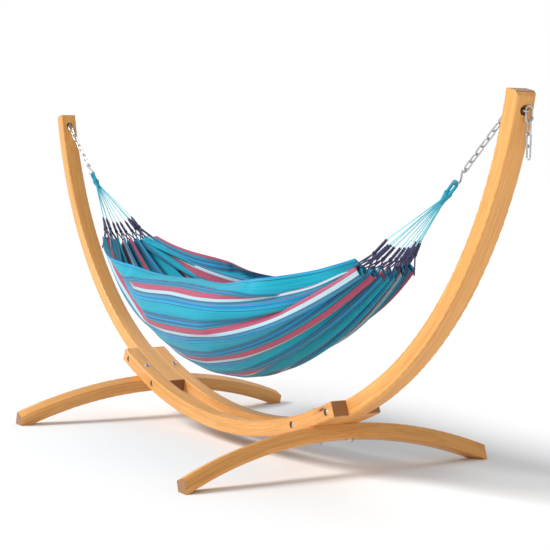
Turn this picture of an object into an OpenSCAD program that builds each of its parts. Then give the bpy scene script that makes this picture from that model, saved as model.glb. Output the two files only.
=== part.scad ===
// Hammock on a curved wooden stand, with its suspension chains and hooks.
// +X runs along the stand, +Y to the back, +Z up; the origin is on the floor under the middle.
// Everything but the two runners comes in left and right pairs, mirrored about X = 0.

/* [Stand] */
// Length of each foot, front to back
foot_span = 1200; // [900:10:1500]
// Height of the arm tips above the floor
stand_height = 1270; // [1050:10:1540]
// Radius of the centre line of the two runners
runner_radius = 2120; // [1750:10:2600]
// Radius of the centre line of the two arms
arm_radius = 1430; // [1250:10:1750]
// Distance from the middle of a runner to a foot, along the runner
foot_place = 685; // [560:5:820]
// Height of the runners above the floor at their middle
ground_gap = 48; // [35:1:90]
// Height of the end face of each foot
foot_tip = 43; // [25:1:60]

/* [Timber] */
// Depth of the runners and arms, measured across their curve
timber_depth = 57; // [46:1:70]
// Width of each arm, which is also the gap between the runners
arm_width = 68; // [54:1:84]
// Width of each runner
runner_width = 58; // [46:1:72]
// Depth of each foot
foot_depth = 53; // [42:1:64]
// Width of each foot, along the stand
foot_width = 55; // [44:1:66]
// Radius of the rounded long edges
edge_radius = 5; // [2:0.5:8]
// Radius of the outer corner at the tip of an arm
tip_radius = 20; // [8:1:26]
// Radius of the corners at the ends of the runners and at the foot of an arm
end_radius = 7; // [3:1:12]
// Depth of the seat cut in the top of a foot
seat_depth = 3; // [2.5:0.5:6]

/* [Fixings] */
// Diameter of the bolts
bolt_d = 10; // [8:1:12]
// Radial clearance of a bolt in its hole
bolt_gap = 0.4; // [0.2:0.1:0.8]
// Distance from a foot bolt to the joint bolt on each side of it, along the runner
bolt_pitch = 118; // [90:1:150]
// Distance from the last joint bolt to the end of a runner or arm
end_margin = 46; // [34:1:70]
// Diameter of the bolt heads and cap nuts
head_d = 19; // [17:0.5:22]
// Height of the bolt heads
head_h = 6; // [5:0.5:8]
// Diameter of the washers
washer_d = 23; // [22.5:0.5:26]
// Thickness of the washers
washer_t = 1.5; // [1:0.5:2.5]
// Depth of the counterbores in the sides of the runners
counterbore_depth = 9; // [6:0.5:12]
// Width across the flats of the hexagon nuts
nut_af = 17; // [15:0.5:19]
// Thickness of the hexagon nuts
nut_h = 8; // [6:0.5:10]

/* [Chain] */
// Diameter of the hole through the top of an arm
hole_d = 30; // [26:1:36]
// Distance from the tip of an arm to its hole, along the arm
hole_from_tip = 54; // [40:1:90]
// Diameter of the chain wire
link_wire = 5; // [4:0.5:5.5]
// Inner length of a chain link
link_pitch = 35; // [31:0.5:40]
// Inner width of a chain link
link_inner = 10; // [9:0.5:12]
// Number of links between an arm and its hook
chain_links = 8; // [5:1:11]
// Number of spare links that hang outside an arm
tail_links = 3; // [2:1:5]
// Gap left between two linked pieces
link_gap = 0.3; // [0.2:0.1:0.5]
// Diameter of the hook wire
hook_wire = 6; // [5:0.5:6.5]
// Length of the hook, between the middles of the wire
hook_length = 72; // [60:1:100]
// Radius of the open end of the hook
hook_bend = 13; // [12:0.5:17]
// Radius of the closed end of the hook
hook_eye = 8; // [7.5:0.5:10]
// Diameter of the snap hook wire
snap_wire = 5.5; // [4.5:0.5:6]
// Length of the snap hook
snap_length = 52; // [48:1:60]
// Width of the snap hook
snap_width = 27; // [26:0.5:30]

/* [Hammock] */
// Height of the lowest part of the cloth above the floor
bed_height = 270; // [220:5:420]
// Half of the opening of the cloth at its middle
mouth_half = 345; // [260:5:440]
// Height of the edges of the cloth above its lowest line at the middle
trough_depth = 430; // [300:5:470]
// Half of the width of the gathered ends of the cloth
end_half = 140; // [110:5:200]
// Height of the edges above the lowest line at the gathered ends
end_depth = 95; // [60:5:160]
// Thickness of the cloth, hems included
cloth_t = 5; // [4:0.5:8]
// Number of cord groups at each end
cord_groups = 11; // [7:1:13]
// Length of the light cords from the eye to the braids
cord_length = 262; // [200:1:320]
// Length of the dark braids from the light cords to the cloth
braid_length = 126; // [90:1:160]
// Diameter of a light cord
cord_d = 4; // [3:0.5:5]
// Diameter of a braid
braid_d = 5; // [4:0.5:5.5]
// Diameter of the wrapped rope of an eye
rope_d = 10; // [8:0.5:11]
// Length of an eye from its top to the whipping
eye_length = 54; // [44:1:70]
// Length of the whipping below an eye
whip_length = 22; // [14:1:30]

/* [Hidden] */
$fn = 48;

// Facets of the long curves of the timber
arc_fn = 240;
// Small overlap that makes a cut pass clean through a face
cut = 1;
// Gap under a flat washer on a slightly curved face
seat_gap = 0.05;

// The runners are one arc about (0, runner_z); each arm leaves it at the end of the runners
// and goes on as a tighter arc about (arm_x, arm_z) that is tangent to the first.
function arc_deg(distance) = distance / runner_radius * 180 / PI;
foot_angle = arc_deg(foot_place);
inner_bolt_angle = arc_deg(foot_place - bolt_pitch);
outer_bolt_angle = arc_deg(foot_place + bolt_pitch);
arm_start_angle = arc_deg(foot_place - bolt_pitch - end_margin);
runner_end_angle = arc_deg(foot_place + bolt_pitch + end_margin);
runner_z = ground_gap + timber_depth / 2 + runner_radius;
arm_x = (runner_radius - arm_radius) * sin(runner_end_angle);
arm_z = runner_z - (runner_radius - arm_radius) * cos(runner_end_angle);
tip_angle = acos((arm_z - stand_height) / (arm_radius - timber_depth / 2));
hole_angle = tip_angle - hole_from_tip / arm_radius * 180 / PI;

// Across the stand, the arms fill the gap between the runners
half_gap = arm_width / 2;
half_stack = half_gap + runner_width;
foot_bolt_y = half_gap + runner_width / 2;

// A foot is an arch whose plane is square to the runners where it carries them
runner_under = runner_radius + timber_depth / 2;
foot_top = [
  (runner_under - seat_depth) * sin(foot_angle), 0,
  runner_z - (runner_under - seat_depth) * cos(foot_angle)
];
foot_drop = (foot_top.z - foot_tip) / cos(foot_angle);
foot_radius = (foot_drop * foot_drop + foot_span * foot_span / 4) / (2 * foot_drop);
foot_half_angle = asin(foot_span / 2 / (foot_radius - foot_depth)) + 4;

// Radial places of the foot bolts, from the centre of the runners' arc
bolt_head_r = runner_radius - timber_depth / 2 - seat_gap;
spot_face_r = runner_under - seat_depth + foot_depth - 1;
bolt_end_r = spot_face_r + washer_t + nut_h + 4;

// Chain: a link's centre line is link_wire longer and wider than its hole
link_bend = (link_inner + link_wire) / 2;
link_length = link_pitch + link_wire;
link_step = link_pitch - link_gap;
hole_at = [arm_x + arm_radius * sin(hole_angle), 0, arm_z - arm_radius * cos(hole_angle)];
// Along the hole, outwards from its middle: spine of the snap hook, then the ends of the two hole links
spine_at = timber_depth / 2 + snap_wire / 2 + snap_length * 0.09;
outer_link_end = spine_at + (snap_wire + link_wire) / 2 + link_gap;
inner_link_end = outer_link_end - link_length + link_wire + link_gap;
chain_start = inner_link_end - link_length + link_wire + link_gap;
function along_hole(distance) = hole_at + distance * [sin(hole_angle), 0, -cos(hole_angle)];
pivot_at = along_hole(chain_start);

// Snap hook: an oval ring that hangs upright in front of the hole
snap_bend = (snap_width - snap_wire) / 2;
snap_rise = hole_d / 2 + 2 - snap_wire / 2;
snap_drop = snap_length - snap_wire - snap_rise;
gate_low = -snap_drop + snap_bend + 1.5;
gate_high = snap_rise - snap_bend - 0.5;
gate_pivot = gate_low + 2;
gate_d = snap_wire - 0.5;
gate_flat = 3.4;
rivet_d = 2;
ear_t = 1.2;
ear_gap = 0.3;

// Suspension: measured along the straight pull from the pivot to the cloth
hook_start = (chain_links - 1) * link_step + link_length - (link_wire + hook_wire) / 2 - link_gap;
eye_start = hook_start + hook_length - (hook_wire + rope_d) / 2 - link_gap;
whip_start = eye_start + eye_length;
cord_start = whip_start + whip_length + link_gap;
pull_length = cord_start + cord_length + braid_length;
eye_bend = rope_d / 2 + hook_wire / 2 + 1;

// The cloth hangs as a parabola between the two straight pulls, so its slope at each end is
// the slope of the pull. The angle is the one that brings its lowest line to bed_height.
function bed_drop(angle) = (pull_length * sin(angle) + pivot_at.x * tan(angle)) / 2;
function find_angle(low, high, steps) =
  steps == 0 ? (low + high) / 2 :
  bed_drop((low + high) / 2) > pivot_at.z - bed_height ?
    find_angle(low, (low + high) / 2, steps - 1) :
    find_angle((low + high) / 2, high, steps - 1);
pull_angle = find_angle(5, 75, 30);
pull_dir = [-cos(pull_angle), 0, -sin(pull_angle)];
cloth_end = pivot_at + pull_length * pull_dir;
cloth_sag = cloth_end.x * tan(pull_angle) / 2;

// A point of the cloth: t runs from -1 at the left end to 1, q from -1 at the front edge to 1,
// and off is the distance outwards from the middle of its thickness.
// Each cross-section is square to the lowest line; the mouth stays wide and then closes quickly,
// while the depth falls away steadily from a rounded middle.
section_angle = 84;
crest = 0.3;
function blend(middle, end, share) = middle + (end - middle) * share;
function away(t) = (sqrt(t * t + crest * crest) - crest) / (sqrt(1 + crest * crest) - crest);
function cloth_slope(t) = atan(2 * cloth_sag * t / cloth_end.x);
function cloth_wide(t) = blend(mouth_half, end_half, pow(abs(t), 2.5)) / sin(section_angle);
function cloth_deep(t) = blend(trough_depth, end_depth, away(t)) / (1 - cos(section_angle));
function cloth_normal(t, q) =
  let (across = cloth_wide(t) * cos(section_angle * q), up = cloth_deep(t) * sin(section_angle * q))
  [up, -across] / norm([up, across]);
function cloth_section(t, q, off) =
  [cloth_wide(t) * sin(section_angle * q), cloth_deep(t) * (1 - cos(section_angle * q))]
  + off * cloth_normal(t, q);
function cloth_point(t, q, off) =
  let (s = cloth_section(t, q, off), a = cloth_slope(t))
  [
    cloth_end.x * t - s.y * sin(a),
    s.x,
    cloth_end.z - cloth_sag * (1 - t * t) + s.y * cos(a)
  ];

// Cord groups spread evenly along the gathered end; each one has a braid of three legs
function group_place(g) = (2 * g + 1) / cord_groups - 1;
leg_spread = 0.62 / cord_groups;
cloth_clear = 2;
fan_start = pivot_at + cord_start * pull_dir;
function fan_point(g) = fan_start + [0, group_place(g) * whip_radius * 0.5, 0];
function group_base(g) = cloth_point(1, group_place(g), 0) - cloth_clear * pull_dir;
function braid_top(g) =
  let (run = group_base(g) - fan_point(g))
  group_base(g) - run * braid_length / norm(run);
whip_radius = eye_bend + rope_d / 2 + 1;
// A knot holds the three legs side by side, a little apart
leg_pitch = braid_d + 0.5;
knot_d = 3 * leg_pitch;
knot_h = 10;

cloth_rows = 28;
cloth_columns = 20;

// Label tab: its own size, and how far along the front edge it is sewn on
tab_size = [30, 14, 1.5];
tab_place = -0.9;

wood = [0.80, 0.55, 0.27];
zinc = [0.75, 0.76, 0.78];
steel = [0.82, 0.82, 0.80];
turquoise = [0.10, 0.55, 0.66];
navy = [0.11, 0.12, 0.25];
pale_cord = [0.62, 0.80, 0.84];
charcoal = [0.22, 0.22, 0.24];

// --- Shared shapes ---

// Cross-section of a bar with rounded edges; x is its depth and y its width
module bar_section(depth, width) {
  square([depth - 2 * edge_radius, width], center = true);
  square([depth, width - 2 * edge_radius], center = true);
  for (x = [-1, 1], y = [-1, 1])
    translate([x * (depth / 2 - edge_radius), y * (width / 2 - edge_radius)]) circle(edge_radius);
}

// A bar bent round the Y axis; angles are measured from straight down, towards +X
module bent_bar(radius, depth, width, from, to) {
  rotate([90, 0, 0]) rotate([0, 0, from - 90])
    rotate_extrude(angle = to - from, $fn = arc_fn) translate([radius, 0]) bar_section(depth, width);
}

// Places its children on the runners' arc: +Z outwards from the arc's centre, +Y along Y
module on_runner(angle, radius) {
  translate([radius * sin(angle), 0, runner_z - radius * cos(angle)])
    rotate([0, 180 - angle, 0]) children();
}

// Cuts the rounded corner off a bar: its children's origin is the corner, the bar in -X, -Z
module corner_cutter(radius, width) {
  rotate([90, 0, 0]) linear_extrude(width + 2 * cut, center = true) difference() {
    translate([-radius, -radius]) square(radius + cut);
    translate([-radius, -radius]) circle(radius);
  }
}

// Round rod between two points
module rod(from, to, diameter) {
  run = to - from;
  translate(from) rotate([0, acos(run.z / norm(run)), atan2(run.y, run.x)])
    cylinder(h = norm(run), d = diameter, $fn = 24);
}

// Part of a ring of wire in the XY plane, angles from +X
module wire_arc(bend, wire, from, to) {
  rotate([0, 0, from]) rotate_extrude(angle = to - from, $fn = 48) translate([bend, 0]) circle(d = wire, $fn = 24);
}

// Chain link along +X in the XY plane, the middle of its near end at the origin
module chain_link() {
  translate([link_bend, 0, 0]) wire_arc(link_bend, link_wire, 90, 270);
  translate([link_length - link_bend, 0, 0]) wire_arc(link_bend, link_wire, -90, 90);
  for (side = [-1, 1])
    translate([link_bend, side * link_bend, 0]) rotate([0, 90, 0])
      cylinder(h = link_length - 2 * link_bend, d = link_wire, $fn = 24);
}

// A run of links along +X, every other one turned a quarter; first says how the first one lies
module link_run(count, first) {
  for (i = [0 : count - 1])
    translate([i * link_step, 0, 0]) rotate([first + 90 * i, 0, 0]) chain_link();
}

// Children's +X follows the pull of the chain, and their XY plane holds the Y direction
module along_pull(distance) {
  translate(pivot_at + distance * pull_dir) rotate([0, 180 - pull_angle, 0]) children();
}

// Children's +X runs outwards along the hole of an arm
module along_arm_hole(distance) {
  translate(along_hole(distance)) rotate([0, 90 - hole_angle, 0]) children();
}

module left() {
  mirror([1, 0, 0]) children();
}

// --- Timber ---

// Holes for the joint bolts, through everything that is clamped
module joint_bolt_holes() {
  for (angle = [inner_bolt_angle, outer_bolt_angle])
    on_runner(angle, runner_radius) rotate([90, 0, 0])
      cylinder(h = 2 * half_stack + 2 * cut, r = bolt_d / 2 + bolt_gap, center = true);
}

// Holes for the foot bolts, square to the runners
module foot_bolt_holes() {
  for (y = [-foot_bolt_y, foot_bolt_y])
    on_runner(foot_angle, 0) translate([0, y, runner_radius - timber_depth])
      cylinder(h = 2 * timber_depth + foot_depth, r = bolt_d / 2 + bolt_gap);
}

module arm() {
  color(wood) difference() {
    // Both bends start where the runners end, one going down and the other up
    translate([runner_radius * sin(runner_end_angle), 0, runner_z - runner_radius * cos(runner_end_angle)])
      rotate([0, -runner_end_angle, 0]) {
        translate([0, 0, runner_radius])
          bent_bar(runner_radius, timber_depth, arm_width, 0, arm_start_angle - runner_end_angle);
        translate([0, 0, arm_radius])
          bent_bar(arm_radius, timber_depth, arm_width, 0, tip_angle - runner_end_angle);
      }
    // Rounded corners at the tip, the outer one larger
    translate([arm_x, 0, arm_z]) rotate([0, 90 - tip_angle, 0]) {
      translate([arm_radius + timber_depth / 2, 0, 0]) corner_cutter(tip_radius, arm_width);
      translate([arm_radius - timber_depth / 2, 0, 0]) mirror([1, 0, 0])
        corner_cutter(end_radius, arm_width);
    }
    along_arm_hole(0) rotate([0, 90, 0]) cylinder(h = timber_depth + 4 * cut, d = hole_d, center = true);
    joint_bolt_holes();
  }
}

// One end of a runner: rounded corners at top and bottom
module runner_end_cuts() {
  translate([0, 0, runner_z]) rotate([0, 90 - runner_end_angle, 0]) {
    translate([runner_under, 0, 0]) corner_cutter(end_radius, 2 * half_stack);
    translate([runner_under - timber_depth, 0, 0]) mirror([1, 0, 0])
      corner_cutter(end_radius, 2 * half_stack);
  }
}

// side is -1 for the front runner and 1 for the back one
module runner(side) {
  color(wood) difference() {
    translate([0, side * foot_bolt_y, runner_z])
      bent_bar(runner_radius, timber_depth, runner_width, -runner_end_angle, runner_end_angle);
    for (turn = [0, 1]) mirror([turn, 0, 0]) {
      runner_end_cuts();
      joint_bolt_holes();
      foot_bolt_holes();
      for (angle = [inner_bolt_angle, outer_bolt_angle])
        on_runner(angle, runner_radius) translate([0, side * half_stack, 0]) rotate([90, 0, 0])
          cylinder(h = 2 * counterbore_depth, d = washer_d + 2, center = true);
    }
  }
}

module foot() {
  color(wood) difference() {
    intersection() {
      translate(foot_top) rotate([0, -foot_angle, 0]) rotate([90, 0, 90])
        translate([0, -foot_radius, 0]) rotate([0, 0, 90 - foot_half_angle])
          rotate_extrude(angle = 2 * foot_half_angle, $fn = arc_fn)
            translate([foot_radius - foot_depth / 2, 0]) bar_section(foot_depth, foot_width);
      translate([0, -foot_span / 2, 0]) cube([2 * foot_top.x, foot_span, foot_top.z + foot_depth]);
    }
    // Seat that follows the underside of the runners and arm
    translate([0, 0, runner_z]) rotate([90, 0, 0])
      cylinder(h = 2 * half_stack + cut, r = runner_under, center = true, $fn = arc_fn);
    foot_bolt_holes();
    for (y = [-foot_bolt_y, foot_bolt_y])
      on_runner(foot_angle, 0) translate([0, y, spot_face_r]) cylinder(h = foot_depth, d = washer_d + 3);
  }
}

// --- Fixings ---

// Domed head on +Z with a hexagon socket, its flat underside at the origin
module dome_head(socket) {
  difference() {
    intersection() {
      cylinder(h = head_h, d = head_d);
      translate([0, 0, head_h - head_d * 0.75]) sphere(head_d * 0.75, $fn = 64);
    }
    if (socket) translate([0, 0, head_h / 2]) cylinder(h = head_h, d = bolt_d * 0.7, $fn = 6);
  }
}

module washer() {
  difference() {
    cylinder(h = washer_t, d = washer_d);
    translate([0, 0, -cut]) cylinder(h = washer_t + 2 * cut, r = bolt_d / 2 + bolt_gap);
  }
}

// Distance from the middle of the stand to the bottom of a counterbore
counterbore_y = half_stack - counterbore_depth;

// Places its children on each joint bolt of one side, +Z pointing out of the front or back
module on_joint_bolts(side) {
  for (angle = [inner_bolt_angle, outer_bolt_angle])
    on_runner(angle, runner_radius) rotate([side * -90, 0, 0]) children();
}

module joint_bolts() {
  color(steel) on_joint_bolts(-1) {
    translate([0, 0, counterbore_y + washer_t]) dome_head(true);
    translate([0, 0, -counterbore_y - washer_t - head_h / 2])
      cylinder(h = 2 * counterbore_y + 2 * washer_t + head_h / 2, d = bolt_d);
  }
}

module joint_washers() {
  color(steel) for (side = [-1, 1]) on_joint_bolts(side) translate([0, 0, counterbore_y]) washer();
}

// Cap nut: a domed nut closed at its outer end
module joint_nuts() {
  color(steel) on_joint_bolts(1) translate([0, 0, counterbore_y + washer_t]) difference() {
    dome_head(false);
    translate([0, 0, -cut]) cylinder(h = head_h / 2 + cut + 0.4, d = bolt_d + 0.3);
  }
}

// Places its children on the foot bolts, +Z outwards from the centre of the runners' arc
module on_foot_bolts() {
  for (y = [-foot_bolt_y, foot_bolt_y]) on_runner(foot_angle, 0) translate([0, y, 0]) children();
}

module foot_bolts() {
  color(steel) on_foot_bolts() {
    translate([0, 0, bolt_head_r - washer_t]) mirror([0, 0, 1]) dome_head(true);
    translate([0, 0, bolt_head_r - washer_t]) cylinder(h = bolt_end_r - bolt_head_r + washer_t, d = bolt_d);
  }
}

module foot_washers() {
  color(steel) on_foot_bolts() {
    translate([0, 0, bolt_head_r - washer_t]) washer();
    translate([0, 0, spot_face_r]) washer();
  }
}

module foot_nuts() {
  color(steel) on_foot_bolts() translate([0, 0, spot_face_r + washer_t]) difference() {
    cylinder(h = nut_h, d = nut_af / cos(30), $fn = 6);
    translate([0, 0, -cut]) cylinder(h = nut_h + 2 * cut, d = bolt_d + 0.3);
  }
}

// --- Chain, hook and snap hook ---

// The two links that lie in the hole of an arm, on either side of its middle
module hole_links() {
  color(zinc) {
    along_arm_hole(outer_link_end - link_length) chain_link();
    along_arm_hole(inner_link_end - link_length) rotate([90, 0, 0]) chain_link();
  }
}

// Children in the upright plane of the snap hook: +X along Y, +Y up, +Z outwards
module at_snap() {
  translate(along_hole(spine_at)) rotate([90, 0, 90]) children();
}

module snap_hook() {
  color(zinc) at_snap() {
    translate([snap_bend, snap_rise - snap_bend, 0]) wire_arc(snap_bend, snap_wire, 0, 180);
    translate([snap_bend, snap_bend - snap_drop, 0]) wire_arc(snap_bend, snap_wire, 180, 360);
    translate([0, snap_bend - snap_drop, 0]) rotate([-90, 0, 0])
      cylinder(h = snap_length - snap_wire - 2 * snap_bend, d = snap_wire);
    // Two ears that carry the rivet of the gate
    for (side = [-1, 1])
      translate([2 * snap_bend, gate_pivot - 2.5, side * (gate_flat / 2 + ear_gap + ear_t / 2)]) difference() {
        cube([snap_wire, 9, ear_t], center = true);
        translate([0, 2.5, 0]) cylinder(h = ear_t + 2 * cut, d = rivet_d, center = true);
      }
  }
}

module gate() {
  color(zinc) at_snap() translate([2 * snap_bend, 0, 0]) difference() {
    translate([0, gate_low, 0]) rotate([-90, 0, 0]) cylinder(h = gate_high - gate_low, d = gate_d);
    translate([0, gate_pivot, 0]) cylinder(h = 2 * gate_d, d = rivet_d + 0.12, center = true);
    // Flats between the ears
    for (side = [-1, 1])
      translate([0, gate_pivot - 2, side * (gate_flat + gate_d) / 2]) cube([2 * gate_d, 11, gate_d], center = true);
  }
}

module gate_rivet() {
  color(steel) at_snap() translate([2 * snap_bend, gate_pivot, 0])
    cylinder(h = gate_flat + 2 * ear_gap + 2 * ear_t, d = rivet_d, center = true);
}

// Spare links that hang from the bottom of the snap hook
module chain_tail() {
  color(zinc) at_snap()
    translate([snap_bend, (snap_wire + link_wire) / 2 + link_gap - snap_drop, 0])
      rotate([0, 0, -90]) link_run(tail_links, 90);
}

module chain() {
  color(zinc) along_pull(0) link_run(chain_links, 0);
}

// Bent-wire hook: a closed eye, a slanting shank and an open bend. The shank is the inner
// tangent of the two bends, so shank_lean is its angle to the line between their middles.
hook_span = hook_length - hook_eye - hook_bend;
shank_lean = asin((hook_bend + hook_eye) / hook_span);
shank_length = sqrt(pow(hook_span, 2) - pow(hook_bend + hook_eye, 2));
// How far the wire goes round in the eye and in the open bend
eye_turn = 292;
bend_turn = 200;
module hook() {
  color(zinc) along_pull(hook_start) rotate([first_hook_turn, 0, 0])
    translate([hook_eye, 0, 0]) rotate([0, 0, shank_lean]) translate([0, -hook_eye, 0]) {
      translate([0, hook_eye, 0]) wire_arc(hook_eye, hook_wire, -90, -90 - eye_turn);
      rotate([0, 90, 0]) cylinder(h = shank_length, d = hook_wire, $fn = 24);
      translate([shank_length, -hook_bend, 0]) wire_arc(hook_bend, hook_wire, 90, 90 - bend_turn);
    }
}
// The last link is turned a quarter from the hook's eye
first_hook_turn = 90 * chain_links;

// --- Hammock ---

// Rope eye and its whipping, which tapers to the cords; it lies square to the open bend of the hook
module eye() {
  color(turquoise) along_pull(eye_start) rotate([90 + first_hook_turn, 0, 0]) {
    translate([eye_bend, 0, 0]) wire_arc(eye_bend, rope_d, 90, 270);
    for (side = [-1, 1])
      translate([eye_bend, side * eye_bend, 0]) rotate([0, 90, 0])
        cylinder(h = eye_length - eye_bend + cut, d = rope_d, $fn = 24);
    translate([eye_length, 0, 0]) rotate([0, 90, 0])
      cylinder(h = whip_length, r1 = whip_radius, r2 = whip_radius * 0.7);
  }
}

module cords() {
  color(pale_cord) for (g = [0 : cord_groups - 1]) rod(fan_point(g), braid_top(g), cord_d);
}

// Unit direction from a braid's knot to its cloth, and the one across its legs
function group_run(g) = (group_base(g) - braid_top(g)) / norm(group_base(g) - braid_top(g));
function group_across(g) =
  let (
    edge = cloth_point(1, group_place(g) + leg_spread, 0) - cloth_point(1, group_place(g) - leg_spread, 0),
    square = edge - (edge * group_run(g)) * group_run(g)
  )
  square / norm(square);

module braids() {
  color(navy) for (g = [0 : cord_groups - 1]) {
    top = braid_top(g) + link_gap * group_run(g);
    low = top + knot_h * group_run(g);
    rod(top, low, knot_d);
    for (leg = [-1, 0, 1])
      rod(low + leg * leg_pitch * group_across(g) - group_run(g),
        cloth_point(1, group_place(g) + leg * leg_spread, 0) - cloth_clear * pull_dir, braid_d);
  }
}

// Grid of points on one face of the cloth, row by row
function cloth_face(off) = [
  for (i = [0 : cloth_rows], j = [0 : cloth_columns])
    cloth_point(2 * i / cloth_rows - 1, 2 * j / cloth_columns - 1, off)
];

// Quads between two neighbouring lines of points; both lists hold point numbers
function strip(one, other) = [
  for (k = [0 : len(one) - 2]) each [
    [one[k], one[k + 1], other[k + 1]],
    [one[k], other[k + 1], other[k]]
  ]
];

module cloth() {
  row = cloth_columns + 1;
  inner = row * (cloth_rows + 1);
  function line(i, base) = [for (j = [0 : cloth_columns]) base + i * row + j];
  function side(j, base) = [for (i = [0 : cloth_rows]) base + i * row + j];
  color(turquoise) polyhedron(
    points = concat(cloth_face(cloth_t / 2), cloth_face(-cloth_t / 2)),
    faces = concat(
      [for (i = [0 : cloth_rows - 1]) each strip(line(i + 1, 0), line(i, 0))],
      [for (i = [0 : cloth_rows - 1]) each strip(line(i, inner), line(i + 1, inner))],
      strip(line(0, 0), line(0, inner)),
      strip(line(cloth_rows, inner), line(cloth_rows, 0)),
      strip(side(0, inner), side(0, 0)),
      strip(side(cloth_columns, 0), side(cloth_columns, inner))
    )
  );
}

// Blank tab sewn on the front edge near the left end
module label_tab() {
  place = cloth_point(tab_place, -1, 0);
  color(charcoal) translate(place + [0, -tab_size.y / 2, tab_size.y / 2 + cloth_t])
    rotate([0, -cloth_slope(tab_place), 0]) rotate([-60, 0, 0]) cube(tab_size, center = true);
}

left() arm();  // arm_left
arm();  // arm_right
runner(-1);  // runner_front
runner(1);  // runner_back
left() foot();  // foot_left
foot();  // foot_right
left() joint_bolts();  // joint_bolts_left
joint_bolts();  // joint_bolts_right
left() joint_washers();  // joint_washers_left
joint_washers();  // joint_washers_right
left() joint_nuts();  // joint_nuts_left
joint_nuts();  // joint_nuts_right
left() foot_bolts();  // foot_bolts_left
foot_bolts();  // foot_bolts_right
left() foot_washers();  // foot_washers_left
foot_washers();  // foot_washers_right
left() foot_nuts();  // foot_nuts_left
foot_nuts();  // foot_nuts_right
left() hole_links();  // hole_links_left
hole_links();  // hole_links_right
left() snap_hook();  // snap_hook_left
snap_hook();  // snap_hook_right
left() gate();  // gate_left
gate();  // gate_right
left() gate_rivet();  // gate_rivet_left
gate_rivet();  // gate_rivet_right
left() chain_tail();  // chain_tail_left
chain_tail();  // chain_tail_right
left() chain();  // chain_left
chain();  // chain_right
left() hook();  // hook_left
hook();  // hook_right
left() eye();  // eye_left
eye();  // eye_right
left() cords();  // cords_left
cords();  // cords_right
left() braids();  // braids_left
braids();  // braids_right
cloth();
label_tab();
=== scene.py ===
import bpy
import math
from mathutils import Matrix, Vector


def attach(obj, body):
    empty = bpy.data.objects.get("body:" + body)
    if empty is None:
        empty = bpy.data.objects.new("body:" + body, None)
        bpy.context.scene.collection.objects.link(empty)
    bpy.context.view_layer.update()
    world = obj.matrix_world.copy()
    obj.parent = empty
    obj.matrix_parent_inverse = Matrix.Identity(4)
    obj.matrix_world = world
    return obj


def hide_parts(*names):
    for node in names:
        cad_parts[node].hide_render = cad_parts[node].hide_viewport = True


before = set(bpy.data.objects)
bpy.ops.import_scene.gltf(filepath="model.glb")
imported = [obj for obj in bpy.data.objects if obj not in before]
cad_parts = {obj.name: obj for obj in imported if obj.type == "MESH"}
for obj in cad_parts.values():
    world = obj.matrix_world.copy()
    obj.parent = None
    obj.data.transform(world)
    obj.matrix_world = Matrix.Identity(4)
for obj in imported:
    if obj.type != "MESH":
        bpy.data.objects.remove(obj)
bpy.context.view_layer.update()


# Camera: stands in front of the right end, a little above the rim of the cloth, and looks
# along the stand. A long lens keeps the two feet close to their true proportions.
view_data = bpy.data.cameras.new("view_camera")
view_data.sensor_width = 36.0
view_data.lens = 101.22
view_data.clip_end = 60.0
view_camera = bpy.data.objects.new("view_camera", view_data)
bpy.context.collection.objects.link(view_camera)
view_camera.matrix_world = (
    Matrix.Translation((5.1082, -2.7833, 1.0676))
    @ Matrix.Rotation(math.radians(60.007), 4, "Z")
    @ Matrix.Rotation(math.radians(90.0 - 4.299), 4, "X")
    @ Matrix.Rotation(math.radians(0.126), 4, "Z")
)
bpy.context.scene.camera = view_camera
bpy.context.scene.view_settings.view_transform = "Standard"


# Cloth, hung by simulation: one flat woven piece, 2.2 m by 1.4 m, whose two ends are gathered by
# eleven braids each. Every braid is tied to one light cord, and the cords meet in the rope eye.
cloth_long, cloth_wide = 2.20, 1.40
groups = 11
last_frame = 110
pull = math.radians(40.2125)
pivot = Vector((1.62853, 0.0, 1.21831))
pull_down = Vector((-math.cos(pull), 0.0, -math.sin(pull)))
cord_from, cord_run, braid_run, pull_run = 0.417, 0.262, 0.126, 0.8051
cloth_edge = pivot + pull_run * pull_down
cloth_sag = cloth_edge.x * math.tan(pull) / 2.0
along, across = 90, 66


def cell(i, j):
    return i * (across + 1) + j


# Length along the sagging middle line, so that the warp starts at its flat length
steps = [k / 400.0 - 1.0 for k in range(801)]
run = [0.0]
for a, b in zip(steps, steps[1:]):
    run.append(run[-1] + math.hypot(cloth_edge.x * (b - a), cloth_sag * (b * b - a * a)))


def place_on_run(share):
    target = share * run[-1]
    low, high = 0, 800
    while high - low > 1:
        middle = (low + high) // 2
        if run[middle] <= target:
            low = middle
        else:
            high = middle
    return steps[low] + (steps[high] - steps[low]) * (target - run[low]) / (run[high] - run[low])


hung, flat = [], []
for i in range(along + 1):
    t = place_on_run(i / along)
    e = abs(t)
    wide = 0.37 + (0.15 - 0.37) * e ** 2.2
    deep = 0.43 + (0.07 - 0.43) * e ** 1.7
    slope = math.atan2(2.0 * cloth_sag * t, cloth_edge.x)
    pleat = 0.032 * max(0.0, (e - 0.25) / 0.75) ** 1.2
    for j in range(across + 1):
        q = 2.0 * j / across - 1.0
        turn = 1.45 * q
        lift = deep * (1.0 - math.cos(turn)) / (1.0 - math.cos(1.45))
        lift += pleat * math.cos(math.pi * groups * (q + 1.0))
        hung.append(Vector((
            cloth_edge.x * t - lift * math.sin(slope),
            wide * math.sin(turn) / math.sin(1.45),
            cloth_edge.z - cloth_sag * (1.0 - t * t) + lift * math.cos(slope),
        )))
        flat.append(((i / along - 0.5) * cloth_long, q * cloth_wide / 2.0, 0.0))
cells = [
    (cell(i, j), cell(i + 1, j), cell(i + 1, j + 1), cell(i, j + 1))
    for i in range(along) for j in range(across)
]

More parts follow.
